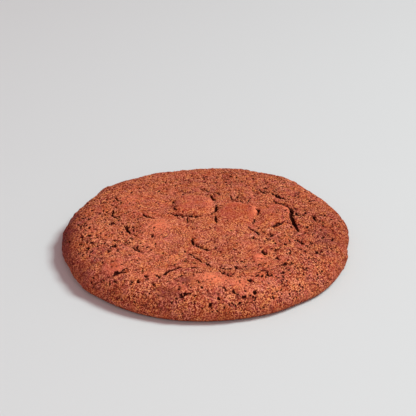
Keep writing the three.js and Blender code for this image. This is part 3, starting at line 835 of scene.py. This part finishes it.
@dataclass
class CrustMesh:
    """The cookie's whole surface as one closed mesh of rings, in millimetres until it is made.

    A span of heights is where something starts and where it is full, or gone.
    """

    form: CookieForm
    baking: Baking
    middle: tuple[float, float] = (0.1, 0.42)
    top_rings: int = 176
    under_rings: int = 4
    sides: int = 6
    ragged: float = 0.26
    ragged_size: float = 0.9
    ragged_seeds: tuple[int, int, int] = (71, 73, 79)
    grain: tuple[tuple[float, float, int], ...] = ((2.1, 0.13, 31), (1.1, 0.12, 47), (0.64, 0.13, 59))
    plate_calm: float = 0.8
    crease_depth: float = 0.4
    # How much darker the rim is painted towards its bottom.
    rim_darkening: float = 0.45
    rim_heights: Span = (3.5, 12)
    foot_heights: Span = (0, 2)
    crumb_heights: Span = (9, 11)
    pitted_at_least: float = 0.3
    places: Points = field(default_factory=lambda: np.zeros((0, 3)))
    faces: Points = field(default_factory=lambda: np.zeros((0, 3), int))
    traces: dict[Trace, Points] = field(default_factory=dict)

    def lay_rings(self, rows: Iterable[tuple]) -> tuple[Points, Points]:
        """Lays rings of points around the middle.

        Args:
            rows: for each ring its count of points, its share of the outline's distance, how far it
                is in from there, its height, and the outward and the upward part of its normals.

        Returns:
            The points, and the normal at each.
        """
        places, normals = [], []
        for count, share, inset, height, outward, upward in rows:
            direction = 360 * np.arange(count) / count
            cos, sin = np.cos(np.radians(direction)), np.sin(np.radians(direction))
            radius = share * self.form.outline_radius(direction) - inset
            places.append(np.stack([radius * cos, radius * sin, np.full(count, height)], axis=1))
            normals.append(np.stack([outward * cos, outward * sin, np.full(count, upward)], axis=1))
        return np.concatenate(places), np.concatenate(normals)

    def top_rows(self) -> Iterator[tuple]:
        """The rings of the top, from its middle out to the belly, on the smooth form."""
        for number, (inset, *rest) in enumerate(self.form.profile(self.top_rings)):
            yield max(1, self.sides * number), 1 - inset / self.form.radius, 0, *rest

    def under_rows(self) -> Iterator[tuple]:
        """The rings from the belly in to the foot, and the middle of the underside.

        Returns:
            A row for each ring, as lay_rings takes it.
        """
        for number in range(1, self.under_rings + 1):
            quarter = number / self.under_rings * math.pi / 2
            cos, sin = math.cos(quarter), math.sin(quarter)
            inset, height = self.form.foot_inset * (1 - cos), self.form.belly_height * (1 - sin)
            yield self.sides * self.top_rings, 1, inset, height, cos, -sin
        yield 1, 0, 0, 0, 0, -1

    def join_rings(self) -> Points:
        """The triangles of the whole mesh, by the numbers of their corners.

        Returns:
            One row of three numbers for each triangle.
        """
        faces = []
        start = 0
        for ring in range(self.top_rings):
            inner, outer = max(1, self.sides * ring), self.sides * (ring + 1)
            after = start + inner
            side = np.repeat(np.arange(self.sides), ring + 1)
            i = np.tile(np.arange(ring + 1), self.sides)
            a = start + (side * ring + i) % inner
            b = after + (side * (ring + 1) + i) % outer
            c = after + (side * (ring + 1) + i + 1) % outer
            d = start + (side * ring + i + 1) % inner
            faces.append(np.stack([a, b, c], axis=1))
            faces.append(np.stack([a, c, d], axis=1)[i < ring])
            start = after
        around = self.sides * self.top_rings
        i = np.arange(around)
        onward = (i + 1) % around
        for _ in range(self.under_rings):
            lower = start + around
            faces.append(np.stack([start + i, lower + i, lower + onward], axis=1))
            faces.append(np.stack([start + i, lower + onward, start + onward], axis=1))
            start = lower
        faces.append(np.stack([start + i, np.full(around, start + around), start + onward], axis=1))
        return np.concatenate(faces)

    def bake(self) -> None:
        """Raises and cuts the relief, and keeps what the material reads."""
        top = list(self.top_rows())
        places, normals = self.lay_rings([*top, *self.under_rows()])
        x, y, z = places.T
        upper = (np.arange(len(places)) < sum(row[0] for row in top)).astype(float)
        fade = upper * smoothstep(z, self.form.relief_from, self.form.relief_full)
        warp = [body_noise(places, self.ragged_size, seed) for seed in self.ragged_seeds]
        ragged = places + self.ragged * np.stack(warp, axis=1)
        holes, hole_shade = self.baking.holes(ragged)
        splits, split_shade = self.baking.splits(ragged)
        smooth = self.form.smooth_share(x, y)
        # Pale patches, partly painted light.
        pale_and_painted_light = zone_sum(PALE_PATCHES_AND_PAINTED_LIGHT, x, y)
        rough = smoothstep(z, 0, self.form.belly_height) * (1 - self.plate_calm * smooth)
        creases = fade * rough * (1 - pale_and_painted_light).clip(0) * self.baking.creases(ragged)
        grain = rough * sum(rise * body_noise(places, size, seed) for size, rise, seed in self.grain)
        relief = fade * (self.form.relief(x, y) - np.maximum(holes, splits)) + grain
        relief -= self.crease_depth * creases
        self.places = places + relief[:, None] * normals
        self.faces = self.join_rings()
        # Painted shade in the vents, pits and cracks.
        cavity_shade = fade * np.maximum(hole_shade, split_shade)
        flat = smoothstep(z, *self.crumb_heights)
        self.traces = {
            Trace.PLATE: upper * smooth,
            # Painted highlight on each plate's shoulder towards the light, and the pale patches, partly
            # painted light.
            Trace.HIGHLIGHT_AND_PALE: upper * np.clip(self.form.painted_highlight_share(x, y) + pale_and_painted_light, 0, 1),
            Trace.CAVITY_SHADE: cavity_shade,
            # Painted shade in the creases.
            Trace.CREASE_SHADE: creases,
            Trace.PITTED: np.clip(fade * (self.pitted_at_least + zone_sum(PIT_ZONES, x, y)), 0, 1),
            # Staining, partly painted shade.
            Trace.STAIN_AND_SHADE: upper * np.clip(zone_sum(STAINS_AND_PAINTED_SHADE, x, y), 0, 1),
            Trace.CRUMB: upper * flat * (1 - smooth) * (1 - cavity_shade),
            # Browning, a darker lower rim, and zones that are partly painted shade and light.
            Trace.TOASTED_AND_SHADED: self.toasted_and_shaded(places, upper),
        }

    def toasted_and_shaded(self, places: Points, upper: Points) -> Points:
        """How far the crust is painted darker at points of the smooth form, from 0 to 1: the underside
        browned, the rim darker towards its bottom, and zones that are partly painted shade and light.

        Args:
            places: the points.
            upper: 1 where a point is of the top, and 0 below.

        Returns:
            Shares from 0 to 1.
        """
        x, y, z = places.T
        rim = self.rim_darkening * (1 - smoothstep(z, *self.rim_heights))
        foot = (1 - upper) * (1 - smoothstep(z, *self.foot_heights))
        return np.clip(rim + upper * zone_sum(TOAST_AND_PAINTED_SHADING, x, y) + foot, 0, 1)

    def make(self, name: str) -> bpy.types.Object:
        """Makes the Blender object.

        Args:
            name: the object's name.

        Returns:
            The object, at the origin, with its place in its mesh.
        """
        self.bake()
        shift = np.array([*self.middle, 0.0])
        mesh = bpy.data.meshes.new(name)
        mesh.vertices.add(len(self.places))
        mesh.vertices.foreach_set("co", ((self.places + shift) * MM).ravel())
        mesh.loops.add(self.faces.size)
        mesh.loops.foreach_set("vertex_index", self.faces.ravel())
        mesh.polygons.add(len(self.faces))
        mesh.polygons.foreach_set("loop_start", np.arange(0, self.faces.size, 3))
        mesh.polygons.foreach_set("use_smooth", np.ones(len(self.faces), bool))
        for trace, values in self.traces.items():
            layer = mesh.attributes.new(trace.value, "FLOAT", "POINT")
            layer.data.foreach_set("value", values.astype(np.float32))
        mesh.update()
        mesh.validate()
        return place_object(name, mesh)


def place_object(name: str, data: bpy.types.ID) -> bpy.types.Object:
    """Puts a new object in the scene, at the origin.

    Args:
        name: the object's name.
        data: its mesh, light or camera.

    Returns:
        The object.
    """
    obj = bpy.data.objects.new(name, data)
    bpy.context.scene.collection.objects.link(obj)
    return obj


@dataclass
class NodeBench:
    """A short way to lay out a tree's nodes."""

    tree: bpy.types.NodeTree

    def fill(self, node: bpy.types.Node, given: Inputs) -> bpy.types.Node:
        """Gives a node's inputs what they read.

        Args:
            node: the node.
            given: an output or a value for each input, by the input's name or number.

        Returns:
            The node.
        """
        for name, source in given.items():
            target = node.inputs[name]
            if isinstance(source, Socket):
                self.tree.links.new(source, target)
            else:
                target.default_value = (*source, 1) if target.type == "RGBA" else source
        return node

    def add(self, kind: str, given: Inputs | None = None, **settings: object) -> bpy.types.Node:
        """Adds a node.

        Args:
            kind: the node's type.
            given: what its inputs read.
            **settings: values for its properties.

        Returns:
            The node.
        """
        node = self.tree.nodes.new(kind)
        for name, value in settings.items():
            setattr(node, name, value)
        return self.fill(node, given or {})

    def noise(self, place: Socket, size: float, detail: float = 2, roughness: float = 0.55) -> Socket:
        """Noise with features of one size.

        Args:
            place: where the noise is read.
            size: how far across a feature is, in millimetres.
            detail: how many finer layers it has.
            roughness: how strong the finer layers are.

        Returns:
            The noise's value.
        """
        given = {"Vector": place, "Scale": 1 / (size * MM), "Detail": detail, "Roughness": roughness}
        return self.add("ShaderNodeTexNoise", given).outputs["Fac"]

    def spread(self, value: Socket, low: float, high: float) -> Socket:
        """How far a value has gone from low to high, eased, from 0 to 1."""
        given = {"Value": value, "From Min": low, "From Max": high}
        return self.add("ShaderNodeMapRange", given, interpolation_type="SMOOTHSTEP").outputs["Result"]

    def math(self, operation: str, a: Amount, b: Amount) -> Socket:
        """One sum of two values."""
        return self.add("ShaderNodeMath", {0: a, 1: b}, operation=operation).outputs[0]

    def times(self, *values: Amount) -> Socket:
        """The product of several values.

        Args:
            *values: outputs or numbers, an output first.

        Returns:
            The product's output.
        """
        total = values[0]
        for value in values[1:]:
            total = self.math("MULTIPLY", total, value)
        return total

    def less(self, value: Socket, share: float) -> Socket:
        """One, less a share of a value."""
        return self.math("SUBTRACT", 1.0, self.math("MULTIPLY", value, share))

    def mix(self, share: Amount, a: Shade, b: Shade, blend: str = "MIX") -> Socket:
        """Mixes two colours by a share.

        Args:
            share: 0 gives the first colour, and 1 the second or its blend with the first.
            a: the first colour, or an output that gives it.
            b: the second colour, or an output that gives it.
            blend: how they mix.

        Returns:
            The mixed colour.
        """
        given = {0: share, 6: a, 7: b}
        return self.add("ShaderNodeMix", given, data_type="RGBA", blend_type=blend).outputs[2]

    def lay(self, under: Shade, *coats: tuple) -> Socket:
        """Lays coats of colour over one another.

        Args:
            under: the colour under all of them.
            *coats: each coat, the value that brings it up, and any values that thin it.

        Returns:
            The colour that shows.
        """
        for coat, value, *thinned in coats:
            where = self.spread(value, *coat.span) if coat.span else value
            under = self.mix(self.times(where, *thinned, coat.strength), under, coat.colour)
        return under

    def dots(
        self, place: Socket, spacing: float, radius: float, share: float, edge: Span = (1.2, 0.6)
    ) -> Socket:
        """Small round dots at seeded places.

        Args:
            place: where the dots are read.
            spacing: how far apart they may be, in millimetres.
            radius: how large each is, in millimetres.
            share: the share of the places that has a dot.
            edge: where a dot starts and where it is full, in its radii.

        Returns:
            1 in a dot and 0 between the dots.
        """
        cells = self.add("ShaderNodeTexVoronoi", {"Vector": place, "Scale": 1 / (spacing * MM)}).outputs
        disc = self.spread(cells["Distance"], *(end * radius / spacing for end in edge))
        draw = self.add("ShaderNodeSeparateColor", {"Color": cells["Color"]}).outputs["Red"]
        return self.times(disc, self.math("LESS_THAN", draw, share))

    def trace(self, trace: Trace) -> Socket:
        """What the mesh remembers at each point."""
        return self.add("ShaderNodeAttribute", attribute_name=trace.value).outputs["Fac"]

    def bump(self, height: Socket, strength: float, rise: float) -> Socket:
        """The normal of a bumpy surface whose bumps rise this many millimetres."""
        given = {"Height": height, "Strength": strength, "Distance": rise * MM}
        return self.add("ShaderNodeBump", given).outputs["Normal"]


def new_material(name: str) -> tuple[bpy.types.Material, NodeBench, bpy.types.Node]:
    """Starts a material.

    Args:
        name: the material's name.

    Returns:
        The material, the bench for its nodes, and its shader.
    """
    material = bpy.data.materials.new(name)
    material.use_nodes = True
    return material, NodeBench(material.node_tree), material.node_tree.nodes["Principled BSDF"]


@dataclass(frozen=True)
class Coat:
    """A colour laid over what is there: its strength, and the span of a value that brings it up.

    Without a span, the value itself says how far it is up.
    """

    colour: Colour
    strength: float = 1
    span: Span | None = None


@dataclass(frozen=True)
class BakedCrust:
    """The finish of the baked crust: cocoa brown grain with pale crumb, painted shade in pits and cracks,
    and redder plates.

    Sizes are in millimetres. A tint is what the colour is multiplied by, and a calming is how much
    of the grain, or of its pale part, goes where the crust is smooth, or darker from browning, staining and
    painted shade.
    """

    name: str = "baked_crust"
    mid: Colour = (0.63, 0.096, 0.037)
    deep: Colour = (0.36, 0.05, 0.023)
    pale: Colour = (0.98, 0.375, 0.18)
    # The dark of the gaps between grains, which is the crust's own tone, and of the painted shade in the
    # creases.
    grain_gap_and_crease_shade: Colour = (0.12, 0.01, 0.008)
    # Near black, for the painted shade in the vents, pits and cracks and in the small pits.
    hollow: Colour = (0.035, 0.005, 0.004)
    clouds: Coat = Coat(deep, 0.45, (0.36, 0.64))
    blushes: Coat = Coat((0.56, 0.1, 0.075), 0.6, (0.44, 0.6))
    pale_mottle: Coat = Coat(pale, 0.35, (0.5, 0.65))
    deep_mottle: Coat = Coat(deep, 0.6, (0.5, 0.36))
    plates: Coat = Coat((0.48, 0.06, 0.033), 0.75)
    # Browning and darkening, partly painted shade.
    toast_and_shade: Coat = Coat((0.28, 0.032, 0.009), 0.85)
    # Staining, partly painted shade.
    stains_and_shade: Coat = Coat((0.21, 0.036, 0.038), 0.9)
    dark_grain: Coat = Coat(grain_gap_and_crease_shade, 1, (0.5, 0.425))
    pale_grain: Coat = Coat(pale, 1, (0.5, 0.585))
    # Painted highlight on each plate's shoulder towards the light, and the pale patches, partly painted
    # light.
    highlights_and_pale: Coat = Coat((1.0, 0.24, 0.12), 0.8)
    # Painted shade in the creases between the crust's lumps.
    creases: Coat = Coat(grain_gap_and_crease_shade, 0.65, (0.25, 0.75))
    # Painted shade in the small pits.
    shaded_pores: Coat = Coat(hollow, 0.9)
    # Painted shade in the vents, pits and cracks.
    cavity_shading: Coat = Coat(hollow, 0.97, (0.3, 0.75))
    tints: tuple[Colour, Colour] = ((0.99, 0.95, 1.11), (1.01, 1.01, 0.83))
    tint_sizes: Span = (0.6, 3.7)
    tint_span: Span = (0.36, 0.64)
    cloud_size: float = 13
    blush_size: float = 8
    mottle_size: float = 2.6
    grain_size: float = 0.48
    grain_roughness: float = 0.65
    detail: float = 3
    patch_size: float = 6
    patch_span: Span = (0.38, 0.6)
    patch_strength: float = 0.35
    plate_calming: float = 0.5
    toast_and_shade_calming: float = 0.5
    stain_and_shade_calming: float = 0.7
    pore_spacing: float = 1.15
    pore_radius: float = 0.33
    pore_share: float = 0.6
    roughness: Span = (0.6, 0.9)
    sheen: float = 0.07
    hollow_dulling: float = 0.9
    bump_height: float = 0.36
    mottle_height: float = 0.6
    pore_depth: float = 0.8

    def make(self) -> bpy.types.Material:
        """Builds the material.

        Returns:
            The material.
        """
        material, bench, shader = new_material(self.name)
        place = bench.add("ShaderNodeTexCoord").outputs["Object"]
        plate, toasted_and_shaded, stain_and_shade, cavity_shade = (
            bench.trace(trace) for trace in (Trace.PLATE, Trace.TOASTED_AND_SHADED, Trace.STAIN_AND_SHADE, Trace.CAVITY_SHADE)
        )
        sizes = (self.cloud_size, self.blush_size, self.mottle_size)
        clouds, blushes, mottle = (bench.noise(place, size, self.detail) for size in sizes)
        grain = bench.noise(place, self.grain_size, self.detail, self.grain_roughness)
        patches = bench.spread(bench.noise(place, self.patch_size), *self.patch_span)
        rough = bench.less(plate, self.plate_calming)
        patchy = bench.math("ADD", bench.times(patches, self.patch_strength), 1 - self.patch_strength)
        strength = bench.times(rough, patchy)
        dots = bench.dots(place, self.pore_spacing, self.pore_radius, self.pore_share)
        # The small pits, which get painted shade and a dent in the bump.
        shaded_pores = bench.times(dots, bench.trace(Trace.PITTED), rough)
        calm = bench.less(toasted_and_shaded, self.toast_and_shade_calming), bench.less(stain_and_shade, self.stain_and_shade_calming)

        crust = bench.lay(
            self.mid,
            (self.clouds, clouds),
            (self.blushes, blushes),
            (self.pale_mottle, mottle),
            (self.deep_mottle, mottle),
            (self.plates, plate),
            (self.toast_and_shade, toasted_and_shaded),
            (self.stains_and_shade, stain_and_shade),
            (self.dark_grain, grain, strength),
            (self.pale_grain, grain, strength, *calm),
        )
        for size in self.tint_sizes:
            tint = bench.mix(bench.spread(bench.noise(place, size), *self.tint_span), *self.tints)
            crust = bench.mix(1.0, crust, tint, "MULTIPLY")
        # The painted highlight goes on first, then the painted shade in the creases, the small pits, and
        # the vents, pits and cracks.
        crust = bench.lay(
            crust,
            (self.highlights_and_pale, bench.trace(Trace.HIGHLIGHT_AND_PALE)),
            (self.creases, bench.trace(Trace.CREASE_SHADE)),
            (self.shaded_pores, shaded_pores),
            (self.cavity_shading, cavity_shade),
        )

        smoothest, roughest = self.roughness
        dull = bench.add("ShaderNodeMapRange", {"Value": mottle, "To Min": smoothest, "To Max": roughest})
        shine = bench.less(bench.spread(cavity_shade, *self.cavity_shading.span), self.hollow_dulling)
        height = bench.math("ADD", bench.times(grain, rough), bench.times(mottle, self.mottle_height))
        height = bench.math("SUBTRACT", height, bench.times(shaded_pores, self.pore_depth))
        bench.fill(shader, {
            "Base Color": crust,
            "Roughness": dull.outputs["Result"],
            "Specular IOR Level": bench.times(shine, self.sheen),
            "Normal": bench.bump(height, 1, self.bump_height),
        })
        return material


@dataclass(frozen=True)
class CrumbFinish:
    """The finish of the loose crumb on the crust: a little lighter and drier than the crust.

    Sizes are in millimetres.
    """

    name: str = "dry_crumb"
    dark: Colour = (0.42, 0.085, 0.038)
    light: Colour = (0.82, 0.28, 0.14)
    tone_size: float = 0.9
    tone_span: Span = (0.35, 0.65)
    roughness: float = 0.9
    sheen: float = 0.3
    bump_size: float = 0.3
    bump_strength: float = 0.5
    bump_height: float = 0.05

    def make(self) -> bpy.types.Material:
        """Builds the material.

        Returns:
            The material.
        """
        material, bench, shader = new_material(self.name)
        place = bench.add("ShaderNodeTexCoord").outputs["Object"]
        tone = bench.spread(bench.noise(place, self.tone_size), *self.tone_span)
        height = bench.noise(place, self.bump_size)
        bench.fill(shader, {
            "Base Color": bench.mix(tone, self.dark, self.light),
            "Roughness": self.roughness,
            "Specular IOR Level": self.sheen,
            "Normal": bench.bump(height, self.bump_strength, self.bump_height),
        })
        return material


@dataclass
class CrumbScatter:
    """Grains of crumb that stand on the crust, laid by Geometry Nodes. Sizes are in millimetres."""

    per_square_cm: float = 80
    smallest: float = 0.12
    largest: float = 0.34
    seed: int = 5

    def tree(self, material: bpy.types.Material) -> bpy.types.NodeTree:
        """Builds the node tree that scatters the grains over a mesh.

        Args:
            material: the grains' material.

        Returns:
            The tree.
        """
        tree = bpy.data.node_groups.new("crumb_scatter", "GeometryNodeTree")
        wanted = {"Crust": "Geometry", "Density": "Float", "Smallest": "Float", "Largest": "Float"}
        wanted["Seed"] = "Int"
        for name, kind in wanted.items():
            tree.interface.new_socket(name, in_out="INPUT", socket_type="NodeSocket" + kind)
        tree.interface.new_socket("Crumbs", in_out="OUTPUT", socket_type="NodeSocketGeometry")
        bench = NodeBench(tree)
        given = bench.add("NodeGroupInput").outputs
        share = bench.add("GeometryNodeInputNamedAttribute", {"Name": Trace.CRUMB.value}, data_type="FLOAT")
        scatter = bench.add("GeometryNodeDistributePointsOnFaces", {
            "Mesh": given["Crust"],
            "Density": bench.times(share.outputs["Attribute"], given["Density"]),
            "Seed": given["Seed"],
        })
        grain = bench.add("GeometryNodeMeshIcoSphere", {"Radius": 1, "Subdivisions": 1})
        turns = {"Max": (math.tau,) * 3, "Seed": given["Seed"]}
        sizes = {"Seed": given["Seed"]}
        for limit, name in (("Min", "Smallest"), ("Max", "Largest")):
            joined = bench.add("ShaderNodeCombineXYZ", {axis: given[name] for axis in "XYZ"})
            sizes[limit] = joined.outputs["Vector"]
        turn, size = (
            bench.add("FunctionNodeRandomValue", ends, data_type="FLOAT_VECTOR") for ends in (turns, sizes)
        )
        grains = bench.add("GeometryNodeInstanceOnPoints", {
            "Points": scatter.outputs["Points"],
            "Instance": grain.outputs["Mesh"],
            "Rotation": turn.outputs["Value"],
            "Scale": size.outputs["Value"],
        })
        real = bench.add("GeometryNodeRealizeInstances", {"Geometry": grains.outputs["Instances"]})
        smooth = bench.add("GeometryNodeSetShadeSmooth", {"Geometry": real.outputs["Geometry"]})
        dressed = bench.add("GeometryNodeSetMaterial", {
            "Geometry": smooth.outputs["Geometry"],
            "Material": material,
        })
        bench.add("NodeGroupOutput", {"Crumbs": dressed.outputs["Geometry"]})
        return tree

    def make(self, name: str, crust: bpy.types.Object, material: bpy.types.Material) -> bpy.types.Object:
        """Scatters the grains over the crust and makes them a plain mesh.

        Args:
            name: the object's name.
            crust: the crust's object.
            material: the grains' material.

        Returns:
            The object of all the grains.
        """
        holder = place_object(name + "_source", crust.data.copy())
        modifier = holder.modifiers.new("scatter", "NODES")
        modifier.node_group = self.tree(material)
        sockets = {item.name: item.identifier for item in modifier.node_group.interface.items_tree}
        modifier[sockets["Density"]] = self.per_square_cm * SQUARE_CM_IN_SQUARE_M
        modifier[sockets["Smallest"]] = self.smallest * MM
        modifier[sockets["Largest"]] = self.largest * MM
        modifier[sockets["Seed"]] = self.seed
        evaluated = holder.evaluated_get(bpy.context.evaluated_depsgraph_get())
        mesh = bpy.data.meshes.new_from_object(evaluated)
        mesh.name = name
        bpy.data.objects.remove(holder)
        return place_object(name, mesh)


@dataclass
class Cookie:
    """The whole cookie: its crust and the crumb on it."""

    form: CookieForm = field(default_factory=CookieForm)
    crust_finish: BakedCrust = BakedCrust()
    crumb_finish: CrumbFinish = CrumbFinish()
    crumbs: CrumbScatter = field(default_factory=CrumbScatter)

    def build(self) -> list[bpy.types.Object]:
        """Builds the pieces, dresses them and ties them to the frame.

        Returns:
            The pieces.
        """
        crust = CrustMesh(self.form, Baking(self.form)).make("cookie_crust")
        crust.data.materials.append(self.crust_finish.make())
        crumb = self.crumbs.make("crust_crumb", crust, self.crumb_finish.make())
        for piece in (crust, crumb):
            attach(piece, BODY)
        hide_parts(NODE)
        return [crust, crumb]


@dataclass(frozen=True)
class Lamp:
    """A square soft light: its place and side in metres, its power and its tint."""

    name: str
    place: tuple[float, float, float]
    size: float
    watts: float
    tint: Colour


@dataclass
class Studio:
    """A pale floor, soft light from the right and back, and the camera. Lengths are in metres."""

    floor_size: float = 6
    floor_tone: Colour = (0.69, 0.69, 0.69)
    floor_roughness: float = 0.9
    floor_sheen: float = 0.1
    sky: Colour = (1.0, 0.62, 0.65)
    sky_strength: float = 0.34
    lamps: tuple[Lamp, ...] = (
        Lamp("key", (0.9, 0.02, 1.18), 0.5, 20.4, (0.82, 1.0, 0.99)),
        Lamp("fill", (0, -0.75, 0.5), 0.6, 1.7, (1.0, 1.0, 1.0)),
    )
    elevation: float = 28
    distance: float = 0.403
    lens: float = 100
    sensor: float = 36
    image: int = 416
    aim: tuple[float, float, float] = (-0.0005, -0.00166, 0.005)
    aim_pixel: tuple[float, float] = (204.5, 237.1)

    def lay_floor(self) -> bpy.types.Object:
        """Makes the floor that the cookie lies on.

        Returns:
            The floor.
        """
        half = self.floor_size / 2
        mesh = bpy.data.meshes.new("floor")
        corners = [(-half, -half, 0), (half, -half, 0), (half, half, 0), (-half, half, 0)]
        mesh.from_pydata(corners, [], [(0, 1, 2, 3)])
        floor = place_object("floor", mesh)
        material, bench, shader = new_material("pale_floor")
        bench.fill(shader, {
            "Base Color": self.floor_tone,
            "Roughness": self.floor_roughness,
            "Specular IOR Level": self.floor_sheen,
        })
        mesh.materials.append(material)
        return floor

    def hang(self, lamp: Lamp) -> bpy.types.Object:
        """Hangs a square soft light that faces the cookie.

        Args:
            lamp: the light's make.

        Returns:
            The light.
        """
        data = bpy.data.lights.new(lamp.name, "AREA")
        data.size, data.energy, data.color = lamp.size, lamp.watts, lamp.tint
        light = place_object(lamp.name, data)
        light.location = lamp.place
        light.rotation_euler = (-Vector(lamp.place)).to_track_quat("-Z", "Y").to_euler()
        return light

    def fill_sky(self) -> None:
        """Lights the whole scene evenly and softly."""
        world = bpy.data.worlds.new("studio")
        world.use_nodes = True
        sky = {"Color": self.sky, "Strength": self.sky_strength}
        NodeBench(world.node_tree).fill(world.node_tree.nodes["Background"], sky)
        bpy.context.scene.world = world

    def set_camera(self) -> bpy.types.Object:
        """Sets the camera at the photograph's angle.

        Returns:
            The camera.
        """
        data = bpy.data.cameras.new("camera")
        data.lens = self.lens
        data.sensor_width = self.sensor
        data.shift_x = (self.image / 2 - self.aim_pixel[0]) / self.image
        data.shift_y = (self.aim_pixel[1] - self.image / 2) / self.image
        camera = place_object("camera", data)
        tilt = math.radians(self.elevation)
        back = Vector((0, -math.cos(tilt), math.sin(tilt)))
        camera.location = Vector(self.aim) + self.distance * back
        camera.rotation_euler = (-back).to_track_quat("-Z", "Y").to_euler()
        bpy.context.scene.camera = camera
        return camera

    def build(self) -> None:
        """Sets up the floor, the light and the camera."""
        self.lay_floor()
        self.fill_sky()
        for lamp in self.lamps:
            self.hang(lamp)
        self.set_camera()
        bpy.context.scene.view_settings.view_transform = "Standard"


def main() -> None:
    """Builds the cookie and the studio, and reports each piece."""
    logging.basicConfig(level=logging.INFO, format="%(message)s")
    for piece in Cookie().build():
        LOG.info("%s: %d faces", piece.name, len(piece.data.polygons))
    Studio().build()


if __name__ == "__main__":
    main()
